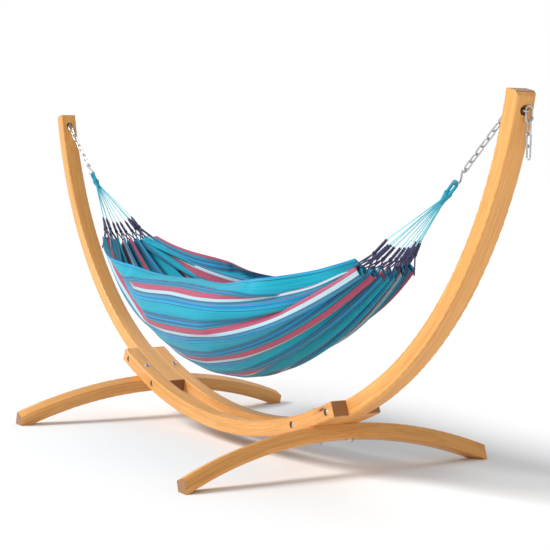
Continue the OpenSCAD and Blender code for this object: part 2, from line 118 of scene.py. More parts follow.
# Ties: three cloth points, the top of the braid and the point in the eye, for each group
ties, pinned, tie_edges = [], [], []
leg_out = 0.33 * cloth_wide / groups
for side in (-1, 1):
    row = 0 if side < 0 else along
    for g in range(groups):
        place = (2 * g + 1) / groups - 1.0
        legs = [round(((place + k * 0.66 / groups) + 1.0) / 2.0 * across) for k in (-1, 0, 1)]
        middle = sum((hung[cell(row, j)] for j in legs), Vector()) / 3.0
        eye_point = pivot + (cord_from + 0.001) * pull_down
        eye_point = Vector((side * eye_point.x, place * 0.0075, eye_point.z))
        top = eye_point + (middle - eye_point).normalized() * cord_run
        top_index = len(hung)
        hung += [top, eye_point]
        reach = math.sqrt(braid_run ** 2 - leg_out ** 2)
        flat.append((side * (cloth_long / 2.0 + reach), place * cloth_wide / 2.0, 0.0))
        flat.append((side * (cloth_long / 2.0 + reach + cord_run), place * cloth_wide / 2.0, 0.0))
        pinned.append(top_index + 1)
        tie_edges.append((top_index, top_index + 1))
        tie_edges += [(top_index, cell(row, j)) for j in legs]
        ties.append((side, g, top_index, row, legs))

hang_mesh = bpy.data.meshes.new("hanging_cloth")
hang_mesh.from_pydata([tuple(p) for p in hung], tie_edges, cells)
hanging = bpy.data.objects.new("hanging_cloth", hang_mesh)
bpy.context.collection.objects.link(hanging)
hanging.shape_key_add(name="Basis")
cut_flat = hanging.shape_key_add(name="flat")
for i, p in enumerate(flat):
    cut_flat.data[i].co = p
pins = hanging.vertex_groups.new(name="eye_points")
pins.add(pinned, 1.0, "REPLACE")
hang = hanging.modifiers.new("hang", "CLOTH")
hang.settings.vertex_group_mass = "eye_points"
hang.settings.rest_shape_key = cut_flat
hang.settings.quality = 8
hang.settings.mass = 110.0 / len(hung)
hang.settings.air_damping = 0.3
hang.settings.tension_stiffness = 2500.0
hang.settings.compression_stiffness = 40.0
hang.settings.shear_stiffness = 20.0
hang.settings.bending_stiffness = 0.5
hang.settings.tension_damping = 5.0
hang.settings.compression_damping = 5.0
hang.settings.shear_damping = 5.0
hang.settings.bending_damping = 0.5
hang.collision_settings.use_self_collision = False
hang.point_cache.frame_start = 1
hang.point_cache.frame_end = last_frame
scene = bpy.context.scene
scene.frame_start, scene.frame_end = 1, last_frame
for step in range(1, last_frame + 1):
    scene.frame_set(step)
settled = hanging.evaluated_get(bpy.context.evaluated_depsgraph_get()).to_mesh()
hung = [v.co.copy() for v in settled.vertices]
scene.frame_set(1)
bpy.data.objects.remove(hanging, do_unlink=True)


# Light cords: eleven at each end, each two soft yarns twisted together, that run from the rope
# eye to the top of one braid. The cloth's weight pulls them straight.
def smooth_tube(name, path, ring, turn_per_metre=0.0, closed_ends=True, radius_at=None):
    """A tube swept along path; ring gives the outline as (angle, radius) pairs."""
    total = sum((b - a).length for a, b in zip(path, path[1:]))
    mesh_points, mesh_faces = [], []
    previous, gone = None, 0.0
    for k, here in enumerate(path):
        ahead = path[min(k + 1, len(path) - 1)] - path[max(k - 1, 0)]
        ahead.normalize()
        if previous is None:
            side_way = ahead.orthogonal().normalized()
        else:
            side_way = (previous - previous.dot(ahead) * ahead).normalized()
        previous = side_way
        up_way = ahead.cross(side_way)
        if k:
            gone += (here - path[k - 1]).length
        size = radius_at(gone / total) if radius_at else 1.0
        for angle, radius in ring:
            a = angle + gone * turn_per_metre * 2.0 * math.pi
            outwards = math.cos(a) * side_way + math.sin(a) * up_way
            mesh_points.append(here + size * radius * outwards)
    n = len(ring)
    for k in range(len(path) - 1):
        for m in range(n):
            after = (m + 1) % n
            mesh_faces.append((k * n + m, k * n + after, (k + 1) * n + after, (k + 1) * n + m))
    if closed_ends:
        mesh_faces.append(tuple(reversed(range(n))))
        mesh_faces.append(tuple((len(path) - 1) * n + m for m in range(n)))
    mesh = bpy.data.meshes.new(name)
    mesh.from_pydata([tuple(p) for p in mesh_points], [], mesh_faces)
    gone_map = mesh.uv_layers.new(name="yarn")
    place = [0.0]
    for a, b in zip(path, path[1:]):
        place.append(place[-1] + (b - a).length)
    for loop in mesh.loops:
        gone_map.data[loop.index].uv = (place[loop.vertex_index // n], (loop.vertex_index % n) / n)
    mesh.update()
    piece = bpy.data.objects.new(name, mesh)
    bpy.context.collection.objects.link(piece)
    for face in mesh.polygons:
        face.use_smooth = True
    return piece


def straight(a, b, count):
    """Points from a to b, evenly spaced."""
    return [a.lerp(b, k / count) for k in range(count + 1)]


def twisted_run(a, b, turn_per_metre):
    """Points from a to b, close enough for the section to turn under 24 degrees between two."""
    return straight(a, b, max(8, math.ceil((b - a).length * turn_per_metre * 15.0)))


def two_ply(radius):
    outline = []
    for k in range(10):
        a = 2.0 * math.pi * k / 10
        outline.append((a, radius * (0.68 + 0.32 * abs(math.cos(a)))))
    return outline


def yarn_material(name, base, dark, ply_pitch, far_end):
    """Twisted yarn: a slanting line along each ply, a soft nap, and a tone that fades to far_end."""
    made = bpy.data.materials.new(name)
    made.use_nodes = True
    nodes, links = made.node_tree.nodes, made.node_tree.links
    shader = nodes["Principled BSDF"]
    shader.inputs["Roughness"].default_value = 0.85
    shader.inputs["Sheen Weight"].default_value = 0.3
    shader.inputs["Sheen Roughness"].default_value = 0.5
    uv = nodes.new("ShaderNodeUVMap")
    uv.uv_map = "yarn"
    parts = nodes.new("ShaderNodeSeparateXYZ")
    links.new(uv.outputs["UV"], parts.inputs[0])
    slant = nodes.new("ShaderNodeMath")
    slant.operation = "MULTIPLY_ADD"
    slant.inputs[1].default_value = 1.0 / ply_pitch
    links.new(parts.outputs["X"], slant.inputs[0])
    links.new(parts.outputs["Y"], slant.inputs[2])
    wave = nodes.new("ShaderNodeMath")
    wave.operation = "PINGPONG"
    wave.inputs[1].default_value = 0.5
    links.new(slant.outputs[0], wave.inputs[0])
    nap = nodes.new("ShaderNodeTexNoise")
    nap.inputs["Scale"].default_value = 900.0
    where = nodes.new("ShaderNodeTexCoord")
    links.new(where.outputs["Object"], nap.inputs["Vector"])
    level = nodes.new("ShaderNodeMath")
    level.operation = "MULTIPLY_ADD"
    level.inputs[1].default_value = 0.35
    links.new(nap.outputs["Fac"], level.inputs[0])
    links.new(wave.outputs[0], level.inputs[2])
    tone = nodes.new("ShaderNodeValToRGB")
    tone.color_ramp.elements[0].position = 0.1
    tone.color_ramp.elements[0].color = dark
    tone.color_ramp.elements[1].position = 0.6
    tone.color_ramp.elements[1].color = base
    links.new(level.outputs[0], tone.inputs["Fac"])
    fade = nodes.new("ShaderNodeMapRange")
    fade.inputs["From Min"].default_value = 0.02
    fade.inputs["From Max"].default_value = 0.20
    links.new(parts.outputs["X"], fade.inputs["Value"])
    far_tone = nodes.new("ShaderNodeMix")
    far_tone.data_type = "RGBA"
    far_tone.inputs["B"].default_value = far_end
    links.new(fade.outputs["Result"], far_tone.inputs["Factor"])
    links.new(tone.outputs["Color"], far_tone.inputs["A"])
    links.new(far_tone.outputs["Result"], shader.inputs["Base Color"])
    bump = nodes.new("ShaderNodeBump")
    bump.inputs["Strength"].default_value = 0.5
    bump.inputs["Distance"].default_value = 0.0004
    links.new(level.outputs[0], bump.inputs["Height"])
    links.new(bump.outputs["Normal"], shader.inputs["Normal"])
    return made


pale_yarn = yarn_material("pale_cotton_yarn", (0.10, 0.62, 0.78, 1), (0.0, 0.33, 0.50, 1), 0.006, (0.34, 0.74, 0.82, 1))
for side, g, top_index, row, legs in ties:
    end_name = "left" if side < 0 else "right"
    start, stop = hung[top_index + 1], hung[top_index]
    path = twisted_run(start, stop, 60.0)
    cord = smooth_tube(f"light_cord_{end_name}_{g + 1}", path, two_ply(0.0022), 60.0)
    cord.data.materials.append(pale_yarn)
    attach(cord, "hammock")
    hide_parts(f"cords_{end_name}")


# Braids: each gathers three bunches of the cloth's own dark warp ends. They are laid together
# into one thick stem with a small loop that holds the cord, and part again towards the cloth.
navy_yarn = yarn_material("navy_cotton_braid", (0.040, 0.045, 0.16, 1), (0.008, 0.010, 0.045, 1), 0.008, (0.018, 0.020, 0.075, 1))


def three_ply(radius):
    outline = []
    for k in range(12):
        a = 2.0 * math.pi * k / 12
        outline.append((a, radius * (0.84 + 0.16 * math.cos(3.0 * a))))
    return outline


def joined(name, objects):
    bpy.ops.object.select_all(action="DESELECT")
    for piece in objects:
        piece.select_set(True)
    bpy.context.view_layer.objects.active = objects[0]
    bpy.ops.object.join()
    whole = bpy.context.view_layer.objects.active
    whole.name = name
    whole.data.name = name
    bpy.ops.object.select_all(action="DESELECT")
    return whole


for side_name, side in (("left", -1), ("right", 1)):
    bunch = []
    for tie_side, g, top_index, row, legs in ties:
        if tie_side != side:
            continue
        top = hung[top_index]
        ends = [hung[cell(row, j)] for j in legs]
        middle = sum(ends, Vector()) / 3.0
        way = (middle - top).normalized()
        split = top.lerp(middle, 0.48)
        bunch.append(smooth_tube("stem", twisted_run(top, split, 38.0), three_ply(0.0058), 38.0,
                                 radius_at=lambda s: 0.55 + 0.45 * min(1.0, s * 5.0) if s < 0.9 else 1.0))
        # A few turns of yarn close the stem where it parts
        coil = []
        turn_way = way.orthogonal().normalized()
        for k in range(49):
            a = 2.0 * math.pi * k / 12.0
            coil.append(split - way * 0.004 + way * 0.008 * k / 48.0
                        + 0.0058 * (math.cos(a) * turn_way + math.sin(a) * way.cross(turn_way)))
        bunch.append(smooth_tube("wrap", coil, [(2.0 * math.pi * m / 6, 0.0011) for m in range(6)]))
        # Loop through which the cord passes
        loop = []
        for k in range(17):
            a = 2.0 * math.pi * k / 16.0
            loop.append(top - way * (0.006 * math.cos(a) - 0.003) + way.cross(turn_way) * 0.004 * math.sin(a))
        bunch.append(smooth_tube("loop", loop, [(2.0 * math.pi * m / 6, 0.0014) for m in range(6)]))
        for end in ends:
            reach = (end - split).normalized()
            path = twisted_run(split - reach * 0.006, end + reach * 0.006, 60.0)
            bunch.append(smooth_tube("leg", path, two_ply(0.0028), 60.0))
    braids = joined(f"warp_braids_{side_name}", bunch)
    braids.data.materials.clear()
    braids.data.materials.append(navy_yarn)
    for face in braids.data.polygons:
        face.material_index = 0
    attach(braids, "hammock")
    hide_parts(f"braids_{side_name}")


# Cloth: plain weave in lengthwise stripes of turquoise, blue, rose and pale grey. Its doubled
# selvedge along both sides is not drawn. It is one thickness of cotton, a little over a millimetre.
cloth_mesh = bpy.data.meshes.new("striped_cloth")
cloth_mesh.from_pydata([tuple(p) for p in hung[:(along + 1) * (across + 1)]], [], cells)
cloth_map = cloth_mesh.uv_layers.new(name="weave")
for loop in cloth_mesh.loops:
    i, j = divmod(loop.vertex_index, across + 1)
    cloth_map.data[loop.index].uv = (i / along, j / across)
cloth = bpy.data.objects.new("striped_cloth", cloth_mesh)
bpy.context.collection.objects.link(cloth)
for face in cloth_mesh.polygons:
    face.use_smooth = True
bpy.ops.object.select_all(action="DESELECT")
cloth.select_set(True)
bpy.context.view_layer.objects.active = cloth
finer = cloth.modifiers.new("finer", "SUBSURF")
finer.levels = finer.render_levels = 1
finer.boundary_smooth = "PRESERVE_CORNERS"
thick = cloth.modifiers.new("thickness", "SOLIDIFY")
thick.thickness = 0.0014
thick.offset = 0.0
thick.use_quality_normals = True
for step in ("finer", "thickness"):
    bpy.ops.object.modifier_apply(modifier=step)

# Stripes, from the front selvedge inwards; each width is a share of one repeat
stripe_repeats = 8.7
turquoise = (0.0, 0.34, 0.47)
sea = (0.0, 0.27, 0.42)
azure = (0.006, 0.27, 0.54)
bright = (0.01, 0.36, 0.58)
slate = (0.035, 0.15, 0.26)
deep = (0.004, 0.085, 0.22)
petrol = (0.003, 0.11, 0.18)
rose = (0.42, 0.080, 0.145)
pale = (0.40, 0.57, 0.64)
stripes = [
    (0.000, azure), (0.030, bright), (0.070, petrol), (0.085, turquoise), (0.330, sea),
    (0.375, petrol), (0.390, slate), (0.450, petrol), (0.460, azure), (0.515, deep),
    (0.530, slate), (0.575, turquoise), (0.605, petrol), (0.620, rose), (0.780, pale),
    (0.860, slate), (0.900, sea), (0.930, rose), (0.940, azure), (0.985, petrol),
]
cotton = bpy.data.materials.new("striped_cotton")
cotton.use_nodes = True
nodes, links = cotton.node_tree.nodes, cotton.node_tree.links
shader = nodes["Principled BSDF"]
shader.inputs["Roughness"].default_value = 0.82
shader.inputs["Sheen Weight"].default_value = 0.18
shader.inputs["Sheen Roughness"].default_value = 0.45
shader.inputs["Specular IOR Level"].default_value = 0.3
uv = nodes.new("ShaderNodeUVMap")
uv.uv_map = "weave"
parts = nodes.new("ShaderNodeSeparateXYZ")
links.new(uv.outputs["UV"], parts.inputs[0])
# Thread edges of a stripe wander by a fraction of a millimetre
wander_map = nodes.new("ShaderNodeMapping")
wander_map.inputs["Scale"].default_value = (18.0, 900.0, 1.0)
links.new(uv.outputs["UV"], wander_map.inputs["Vector"])
wander = nodes.new("ShaderNodeTexNoise")
wander.inputs["Scale"].default_value = 1.0
wander.inputs["Detail"].default_value = 3.0
links.new(wander_map.outputs["Vector"], wander.inputs["Vector"])
shifted = nodes.new("ShaderNodeMath")
shifted.operation = "MULTIPLY_ADD"
shifted.inputs[1].default_value = 0.0006
links.new(wander.outputs["Fac"], shifted.inputs[0])
links.new(parts.outputs["Y"], shifted.inputs[2])
repeat = nodes.new("ShaderNodeMath")
repeat.operation = "MULTIPLY"
repeat.inputs[1].default_value = stripe_repeats
links.new(shifted.outputs[0], repeat.inputs[0])
share = nodes.new("ShaderNodeMath")
share.operation = "FRACT"
links.new(repeat.outputs[0], share.inputs[0])
warp = nodes.new("ShaderNodeValToRGB")
warp.color_ramp.interpolation = "CONSTANT"
warp.color_ramp.elements[0].position = stripes[0][0]
warp.color_ramp.elements[0].color = (*stripes[0][1], 1)
warp.color_ramp.elements[1].position = stripes[1][0]
warp.color_ramp.elements[1].color = (*stripes[1][1], 1)
for position, colour in stripes[2:]:
    stop = warp.color_ramp.elements.new(position)
    stop.color = (*colour, 1)
links.new(share.outputs[0], warp.inputs["Fac"])
# Uneven yarn: every thread of the warp is a little lighter or darker than its neighbour
thread_map = nodes.new("ShaderNodeMapping")
thread_map.inputs["Scale"].default_value = (5.0, 1100.0, 1.0)
links.new(uv.outputs["UV"], thread_map.inputs["Vector"])
threads = nodes.new("ShaderNodeTexNoise")
threads.inputs["Scale"].default_value = 1.0
threads.inputs["Detail"].default_value = 2.0
links.new(thread_map.outputs["Vector"], threads.inputs["Vector"])
thread_level = nodes.new("ShaderNodeMapRange")
thread_level.inputs["From Min"].default_value = 0.3
thread_level.inputs["From Max"].default_value = 0.7
thread_level.inputs["To Min"].default_value = 0.80
thread_level.inputs["To Max"].default_value = 1.22
links.new(threads.outputs["Fac"], thread_level.inputs["Value"])
toned = nodes.new("ShaderNodeMix")
toned.data_type = "RGBA"
toned.blend_type = "MULTIPLY"
toned.inputs["Factor"].default_value = 1.0
links.new(warp.outputs["Color"], toned.inputs["A"])
links.new(thread_level.outputs["Result"], toned.inputs["B"])
links.new(toned.outputs["Result"], shader.inputs["Base Color"])
# Plain weave: warp and weft threads pass over each other, a little over a millimetre apart
warp_wave = nodes.new("ShaderNodeMath")
warp_wave.operation = "MULTIPLY"
warp_wave.inputs[1].default_value = 2.0 * math.pi * cloth_wide / 0.0026
links.new(parts.outputs["Y"], warp_wave.inputs[0])
weft_wave = nodes.new("ShaderNodeMath")
weft_wave.operation = "MULTIPLY"
weft_wave.inputs[1].default_value = 2.0 * math.pi * cloth_long / 0.0026
links.new(parts.outputs["X"], weft_wave.inputs[0])
crests = []
for source in (warp_wave, weft_wave):
    crest = nodes.new("ShaderNodeMath")
    crest.operation = "SINE"
    links.new(source.outputs[0], crest.inputs[0])
    crests.append(crest)
over = nodes.new("ShaderNodeMath")
over.operation = "MULTIPLY"
links.new(crests[0].outputs[0], over.inputs[0])
links.new(crests[1].outputs[0], over.inputs[1])
weave_bump = nodes.new("ShaderNodeBump")
weave_bump.inputs["Strength"].default_value = 0.35
weave_bump.inputs["Distance"].default_value = 0.0005
links.new(over.outputs[0], weave_bump.inputs["Height"])
# Small creases left by folding and by the pull of the braids
crease_map = nodes.new("ShaderNodeMapping")
crease_map.inputs["Scale"].default_value = (3.0, 46.0, 1.0)
links.new(uv.outputs["UV"], crease_map.inputs["Vector"])
creases = nodes.new("ShaderNodeTexNoise")
creases.inputs["Scale"].default_value = 1.0
creases.inputs["Detail"].default_value = 4.0
creases.inputs["Roughness"].default_value = 0.55
links.new(crease_map.outputs["Vector"], creases.inputs["Vector"])
crease_bump = nodes.new("ShaderNodeBump")
crease_bump.inputs["Strength"].default_value = 0.8
crease_bump.inputs["Distance"].default_value = 0.012
links.new(creases.outputs["Fac"], crease_bump.inputs["Height"])
links.new(weave_bump.outputs["Normal"], crease_bump.inputs["Normal"])
links.new(crease_bump.outputs["Normal"], shader.inputs["Normal"])
cloth.data.materials.append(cotton)
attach(cloth, "hammock")
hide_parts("cloth")


# Rope eyes: the ends of all the cords are laid into one loop, wound tightly with yarn, and closed
# by a whipping whose turns cross. They hang in the open bends of the hooks.
eye_yarn = yarn_material("turquoise_winding", (0.01, 0.42, 0.58, 1), (0.0, 0.17, 0.28, 1), 0.0045, (0.0, 0.33, 0.47, 1))
eye_from = pivot + 0.3408 * pull_down
flat_way = Vector((math.sin(pull), 0.0, -math.cos(pull)))
for side_name, side in (("left", -1), ("right", 1)):
    flip = Vector((side, 1.0, 1.0))
    path = []
    for k in range(13):
        path.append(eye_from + pull_down * (0.054 - 0.0035 * k) + flat_way * (0.0075 + 0.00012 * k))
    for k in range(1, 24):
        a = math.pi * k / 24.0
        path.append(eye_from + pull_down * (0.009 - 0.009 * math.sin(a)) + flat_way * 0.009 * math.cos(a))
    for k in range(13):
        path.append(eye_from + pull_down * (0.012 + 0.0035 * k) - flat_way * (0.009 - 0.00012 * k))
    smooth_path = []
    for a, b in zip(path, path[1:]):
        smooth_path += [a.lerp(b, m / 4.0) for m in range(4)]
    smooth_path.append(path[-1])
    smooth_path = [Vector((p.x * side, p.y, p.z)) for p in smooth_path]
    loop_rope = smooth_tube("loop_rope", smooth_path, [(2.0 * math.pi * m / 16, 0.0047) for m in range(16)])
    # Close winding round the loop
    winding = []
    total = len(smooth_path) - 1
    turns = 62
    for k in range(turns * 10 + 1):
        s = k / (turns * 10) * total
        m = min(int(s), total - 1)
        here = smooth_path[m].lerp(smooth_path[m + 1], s - m)
        ahead = (smooth_path[min(m + 2, total)] - smooth_path[max(m - 1, 0)]).normalized()
        out = Vector((0.0, 1.0, 0.0))
        other = ahead.cross(out).normalized()
        a = 2.0 * math.pi * k / 10.0
        winding.append(here + 0.0045 * (math.cos(a) * out + math.sin(a) * other))
    wound = smooth_tube("wound", winding, [(2.0 * math.pi * m / 5, 0.00105) for m in range(5)])
    # Whipping, tapering towards the cords, with two sets of crossing turns over it
    pieces = [loop_rope, wound]
    start = eye_from + pull_down * 0.050
    stop = eye_from + pull_down * 0.092
    start = Vector((start.x * side, start.y, start.z))
    stop = Vector((stop.x * side, stop.y, stop.z))
    neck_path = straight(start, stop, 24)
    pieces.append(smooth_tube("neck", neck_path, [(2.0 * math.pi * m / 20, 0.0118) for m in range(20)],
                              radius_at=lambda s: 1.0 - 0.45 * s))
    axis = (stop - start).normalized()
    round_way = axis.orthogonal().normalized()
    for hand in (-1.0, 1.0):
        for first in range(4):
            crossing = []
            for k in range(61):
                s = k / 60.0
                a = hand * 2.0 * math.pi * 1.5 * s + first * math.pi / 2.0
                r = 0.0122 * (1.0 - 0.45 * s)
                outwards = math.cos(a) * round_way + math.sin(a) * axis.cross(round_way)
                crossing.append(start.lerp(stop, s) + r * outwards)
            pieces.append(smooth_tube("crossing", crossing, [(2.0 * math.pi * m / 6, 0.0014) for m in range(6)]))
    for place, count, radius in ((0.02, 3, 0.0122), (0.94, 3, 0.0072)):
        collar = []
        for k in range(count * 16 + 1):
            a = 2.0 * math.pi * k / 16.0
            here = start.lerp(stop, place) + axis * 0.0026 * k / 16.0
            outwards = math.cos(a) * round_way + math.sin(a) * axis.cross(round_way)
            collar.append(here + radius * outwards)
        pieces.append(smooth_tube("collar", collar, [(2.0 * math.pi * m / 6, 0.0014) for m in range(6)]))
    eye = joined(f"rope_eye_{side_name}", pieces)
    eye.data.materials.clear()
    eye.data.materials.append(eye_yarn)
    for face in eye.data.polygons:
        face.material_index = 0
    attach(eye, "hammock")
    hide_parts(f"eye_{side_name}")


# Label tab: a short piece of woven tape, folded double and caught in the front selvedge near
# the left end. It is blank.
tab_row = round(0.035 * along)
tab_at = hung[cell(tab_row, 0)]
tab_next = hung[cell(tab_row + 1, 0)]
tab_way = (tab_next - tab_at).normalized()
hang_way = Vector((0.0, -0.25, -1.0)).normalized()
hang_way = (hang_way - hang_way.dot(tab_way) * tab_way).normalized()
face_way = tab_way.cross(hang_way)
bpy.ops.mesh.primitive_grid_add(x_subdivisions=8, y_subdivisions=6, size=1.0, location=(0, 0, 0))
tab = bpy.context.object
tab.name = tab.data.name = "side_tab"
for v in tab.data.vertices:
    across_tab, down = v.co.x * 0.030, (0.5 - v.co.y) * 0.016
    curl = 0.0015 * math.sin(down / 0.016 * math.pi)
    v.co = tab_at + tab_way * across_tab + hang_way * (down - 0.002) + face_way * curl
fold = tab.modifiers.new("double", "SOLIDIFY")
fold.thickness = 0.0016
fold.offset = 0.0
bpy.ops.object.modifier_apply(modifier="double")
tape = bpy.data.materials.new("charcoal_tape")
tape.use_nodes = True
nodes, links = tape.node_tree.nodes, tape.node_tree.links
shader = nodes["Principled BSDF"]
shader.inputs["Roughness"].default_value = 0.8
where = nodes.new("ShaderNodeTexCoord")
ribs = nodes.new("ShaderNodeTexWave")
ribs.inputs["Scale"].default_value = 420.0
ribs.inputs["Distortion"].default_value = 0.4
links.new(where.outputs["Object"], ribs.inputs["Vector"])
tone = nodes.new("ShaderNodeValToRGB")
tone.color_ramp.elements[0].color = (0.012, 0.013, 0.016, 1)
tone.color_ramp.elements[1].color = (0.045, 0.047, 0.052, 1)
links.new(ribs.outputs["Fac"], tone.inputs["Fac"])
links.new(tone.outputs["Color"], shader.inputs["Base Color"])
tab.data.materials.append(tape)
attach(tab, "hammock")
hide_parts("label_tab")


# Timber: arms, runners and feet are larch, glued up from thin layers bent round a former, planed,
# rounded along the edges and oiled. The grain follows the bend of each piece.
def socket(group, name, kind, way, value=None):
    made = group.interface.new_socket(name=name, in_out=way, socket_type=kind)
    if value is not None:
        made.default_value = value
    return made


larch = bpy.data.node_groups.new("larch_grain", "ShaderNodeTree")
socket(larch, "Grain Place", "NodeSocketVector", "INPUT")
socket(larch, "End Face", "NodeSocketFloat", "INPUT", 0.0)
socket(larch, "Board", "NodeSocketFloat", "INPUT", 0.0)
socket(larch, "Light Wood", "NodeSocketColor", "INPUT", (0.80, 0.44, 0.155, 1))
socket(larch, "Dark Wood", "NodeSocketColor", "INPUT", (0.60, 0.27, 0.07, 1))
socket(larch, "Color", "NodeSocketColor", "OUTPUT")
socket(larch, "Roughness", "NodeSocketFloat", "OUTPUT")
socket(larch, "Height", "NodeSocketFloat", "OUTPUT")
nodes, links = larch.nodes, larch.links
given = nodes.new("NodeGroupInput")
result = nodes.new("NodeGroupOutput")


def calc(operation, a, b=None, c=None):
    """A math node in the tree that nodes and links stand for; numbers or outputs go in."""
    made = nodes.new("ShaderNodeMath")
    made.operation = operation
    for slot_number, value in enumerate((a, b, c)):
        if value is None:
            continue
        if isinstance(value, (int, float)):
            made.inputs[slot_number].default_value = value
        else:
            links.new(value, made.inputs[slot_number])
    return made.outputs[0]


def blend_colour(kind, factor, a, b):
    made = nodes.new("ShaderNodeMix")
    made.data_type = "RGBA"
    made.blend_type = kind
    for name, value in (("Factor", factor), ("A", a), ("B", b)):
        if isinstance(value, (int, float)):
            made.inputs[name].default_value = value
        elif isinstance(value, tuple):
            made.inputs[name].default_value = value
        else:
            links.new(value, made.inputs[name])
    return made.outputs["Result"]


def ranged(value, low, high, out_low, out_high):
    made = nodes.new("ShaderNodeMapRange")
    links.new(value, made.inputs["Value"])
    for name, number in (("From Min", low), ("From Max", high), ("To Min", out_low), ("To Max", out_high)):
        made.inputs[name].default_value = number
    return made.outputs["Result"]


def noise(vector, scale, detail, roughness=0.5):
    made = nodes.new("ShaderNodeTexNoise")
    made.inputs["Scale"].default_value = scale
    made.inputs["Detail"].default_value = detail
    made.inputs["Roughness"].default_value = roughness
    links.new(vector, made.inputs["Vector"])
    return made.outputs["Fac"]


def stretched(vector, scale):
    made = nodes.new("ShaderNodeMapping")
    made.inputs["Scale"].default_value = scale
    links.new(vector, made.inputs["Vector"])
    return made.outputs["Vector"]


def packed(x, y, z):
    made = nodes.new("ShaderNodeCombineXYZ")
    for number, value in enumerate((x, y, z)):
        if isinstance(value, (int, float)):
            made.inputs[number].default_value = value
        else:
            links.new(value, made.inputs[number])
    return made.outputs[0]


split = nodes.new("ShaderNodeSeparateXYZ")
links.new(given.outputs["Grain Place"], split.inputs[0])
seed = calc("MULTIPLY", given.outputs["Board"], 7.31)
# Layers: each is a board of its own, so the pattern jumps from one to the next
layer = calc("FLOOR", calc("DIVIDE", calc("ADD", split.outputs["Y"], 0.0285), 0.0190))
layer_seed = calc("MULTIPLY_ADD", layer, 3.17, seed)
place = packed(
    calc("ADD", split.outputs["X"], layer_seed),
    split.outputs["Y"],
    calc("ADD", split.outputs["Z"], layer_seed),
)
bend = noise(stretched(place, (1.6, 9.0, 9.0)), 1.0, 2.0)
swayed = packed(
    split.outputs["X"],
    calc("MULTIPLY_ADD", bend, 0.035, split.outputs["Y"]),
    calc("MULTIPLY_ADD", bend, 0.045, calc("ADD", split.outputs["Z"], layer_seed)),
)
rings = noise(stretched(swayed, (0.8, 260.0, 330.0)), 1.0, 2.0, 0.5)
fibre = noise(stretched(place, (14.0, 900.0, 900.0)), 1.0, 2.0)
drift = noise(stretched(place, (1.1, 24.0, 24.0)), 1.0, 2.0)
grain = calc("ADD", calc("MULTIPLY", rings, 0.72), calc("MULTIPLY", fibre, 0.28))
tone = nodes.new("ShaderNodeValToRGB")
tone.color_ramp.elements[0].position = 0.36
tone.color_ramp.elements[1].position = 0.60
links.new(grain, tone.inputs["Fac"])
wood = blend_colour("MIX", tone.outputs["Color"], given.outputs["Dark Wood"], given.outputs["Light Wood"])
wood = blend_colour("MULTIPLY", 1.0, wood, ranged(drift, 0.3, 0.7, 0.92, 1.07))
layer_tone = calc("MULTIPLY_ADD", calc("FRACT", calc("MULTIPLY", layer_seed, 1.618)), 0.12, 0.93)
wood = blend_colour("MULTIPLY", 1.0, wood, layer_tone)
# Knots: sparse, dark, with the grain curling round them
cells_map = stretched(place, (3.2, 11.0, 11.0))
knots = nodes.new("ShaderNodeTexVoronoi")
knots.inputs["Scale"].default_value = 1.0
knots.inputs["Randomness"].default_value = 1.0
links.new(cells_map, knots.inputs["Vector"])
knot_pick = nodes.new("ShaderNodeSeparateColor")
links.new(knots.outputs["Color"], knot_pick.inputs[0])
rare = calc("GREATER_THAN", knot_pick.outputs["Red"], 0.72)
heart = calc("MULTIPLY", ranged(knots.outputs["Distance"], 0.035, 0.085, 1.0, 0.0), rare)
halo = calc("MULTIPLY", ranged(knots.outputs["Distance"], 0.06, 0.22, 0.55, 0.0), rare)
knot_rings = calc("MULTIPLY_ADD", calc("SINE", calc("MULTIPLY", knots.outputs["Distance"], 260.0)), 0.15, 0.85)
wood = blend_colour("MIX", halo, wood, (0.42, 0.17, 0.045, 1))
wood = blend_colour("MULTIPLY", heart, wood, (0.36, 0.24, 0.18, 1))
wood = blend_colour("MULTIPLY", calc("MULTIPLY", heart, 0.6), wood, knot_rings)
# Glue lines between the layers
from_line = calc("ABSOLUTE", calc("SUBTRACT", calc("FRACT", calc("DIVIDE", calc("ADD", split.outputs["Y"], 0.0285), 0.0190)), 0.5))
glue = ranged(from_line, 0.472, 0.492, 0.0, 0.55)
side_only = calc("SUBTRACT", 1.0, calc("GREATER_THAN", calc("ABSOLUTE", split.outputs["Y"]), 0.026))
wood = blend_colour("MULTIPLY", calc("MULTIPLY", glue, side_only), wood, (0.45, 0.30, 0.20, 1))
# End grain: browner, with the year rings of each layer cut across
ring_shift = calc("MULTIPLY", layer_seed, 0.013)
ring_place = packed(0.0, split.outputs["Y"], calc("ADD", split.outputs["Z"], ring_shift))
arcs = nodes.new("ShaderNodeTexWave")
arcs.wave_type = "RINGS"
arcs.rings_direction = "X"
arcs.inputs["Scale"].default_value = 95.0
arcs.inputs["Distortion"].default_value = 1.5
arcs.inputs["Detail"].default_value = 2.0
links.new(ring_place, arcs.inputs["Vector"])
end_wood = blend_colour("MIX", arcs.outputs["Fac"], (0.20, 0.085, 0.028, 1), (0.42, 0.20, 0.075, 1))
wood = blend_colour("MIX", given.outputs["End Face"], wood, end_wood)
links.new(wood, result.inputs["Color"])
links.new(calc("MULTIPLY_ADD", grain, 0.18, 0.36), result.inputs["Roughness"])
links.new(calc("SUBTRACT", calc("MULTIPLY", grain, 1.0), calc("MULTIPLY", glue, 0.5)), result.inputs["Height"])


